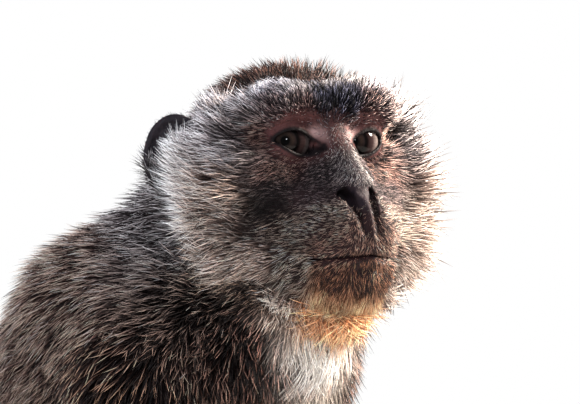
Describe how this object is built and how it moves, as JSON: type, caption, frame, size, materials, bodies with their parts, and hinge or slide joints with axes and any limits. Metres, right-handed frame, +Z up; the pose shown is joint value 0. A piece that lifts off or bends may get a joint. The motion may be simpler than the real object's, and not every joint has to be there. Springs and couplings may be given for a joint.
{
  "type": "long-tailed macaque monkey",
  "caption": "Still, life-size long-tailed macaque, an adult male, sitting hunched with its hands on the ground, head turned to its right and tail along the floor.",
  "frame": {"origin": "the middle of the ground that the whole animal covers, on the floor that it sits on", "axes": "+Z up, the animal faces -Y, and its left side is +X"},
  "size_m": [0.4268, 0.4672, 0.4294],
  "materials": {
    "back_coat": "grey-brown fur with pale golden tips",
    "grey_coat": "grey fur with whitish tips",
    "face_skin": "thinly haired brown skin",
    "bare_skin": "dark bare skin",
    "eye": "wet, clear"
  },
  "bodies": {
    "root": {"pelvis": "back_coat", "belly": "back_coat", "chest": "back_coat", "upper_arm_left": "back_coat", "upper_arm_right": "back_coat", "forearm_left": "back_coat", "forearm_right": "back_coat", "thigh_left": "back_coat", "thigh_right": "back_coat", "shank_left": "back_coat", "shank_right": "back_coat", "tail_root": "back_coat", "tail_middle": "back_coat", "tail_tip": "back_coat", "neck": "grey_coat", "head": "grey_coat", "lower_jaw": "face_skin", "ear_left": "bare_skin", "ear_right": "bare_skin", "hand_left": "bare_skin", "hand_right": "bare_skin", "foot_left": "bare_skin", "foot_right": "bare_skin", "eye_left": "eye", "eye_right": "eye"}
  },
  "joints": []
}
